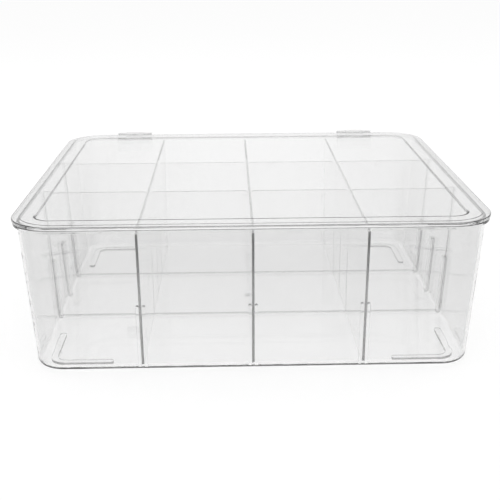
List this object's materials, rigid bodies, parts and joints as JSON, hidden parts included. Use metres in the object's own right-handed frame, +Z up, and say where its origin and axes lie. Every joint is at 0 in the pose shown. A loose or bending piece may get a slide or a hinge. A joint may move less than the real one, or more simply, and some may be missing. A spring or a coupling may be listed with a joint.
{
  "type": "business card storage box",
  "caption": "Clear plastic box with a hinged lid and removable crossing dividers that part it into wells for stacks of business cards.",
  "frame": {"origin": "under the middle of the closed box, hinges included, on the surface that it stands on", "axes": "+X to the right along the front, +Y from the front to the hinges at the rear, +Z up"},
  "size_m": [0.3188, 0.3044, 0.1089],
  "materials": {
    "clear_styrene": "clear injection-moulded polystyrene, polished"
  },
  "bodies": {
    "bin_body": {"bin": "clear_styrene", "hinge_pin_left": "clear_styrene", "hinge_pin_right": "clear_styrene", "divider_left": "clear_styrene", "divider_middle": "clear_styrene", "divider_right": "clear_styrene", "cross_divider_front": "clear_styrene", "cross_divider_rear": "clear_styrene"},
    "lid_body": {"lid": "clear_styrene"}
  },
  "joints": [
    {"name": "lid_hinge", "type": "hinge", "parent": "bin_body", "child": "lid_body", "pos_m": [0, 0.1487, 0.1054], "axis": [-1, 0, 0], "range_deg": [0, 110]}
  ]
}
